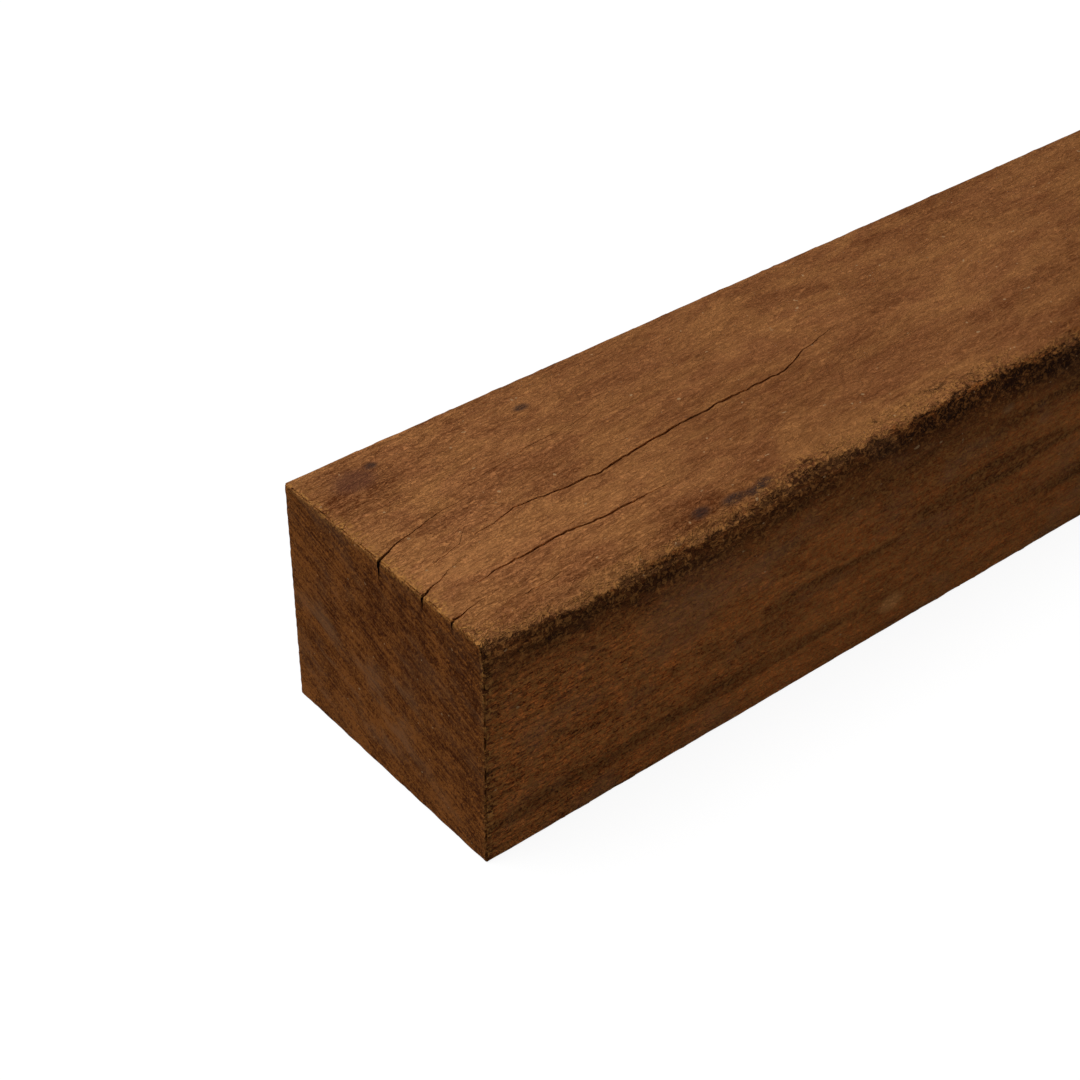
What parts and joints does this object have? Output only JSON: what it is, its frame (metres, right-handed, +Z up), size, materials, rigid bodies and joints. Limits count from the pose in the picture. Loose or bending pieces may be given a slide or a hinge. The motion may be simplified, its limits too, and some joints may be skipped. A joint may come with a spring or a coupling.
{
  "type": "hardwood fence post",
  "caption": "Rough-sawn hardwood fence post: a solid rectangular baulk, docked square, with wane along one arris and drying checks at an end.",
  "frame": {"origin": "middle of the wide face that the post lies on", "axes": "+X along the post, away from the docked end with the checks; +Y across it, from the front face to the rear face; +Z up"},
  "size_m": [2.4, 0.115, 0.1],
  "materials": {
    "sawn_hardwood": "rough sawn, unfinished"
  },
  "bodies": {
    "root": {"fence_post": "sawn_hardwood"}
  },
  "joints": []
}
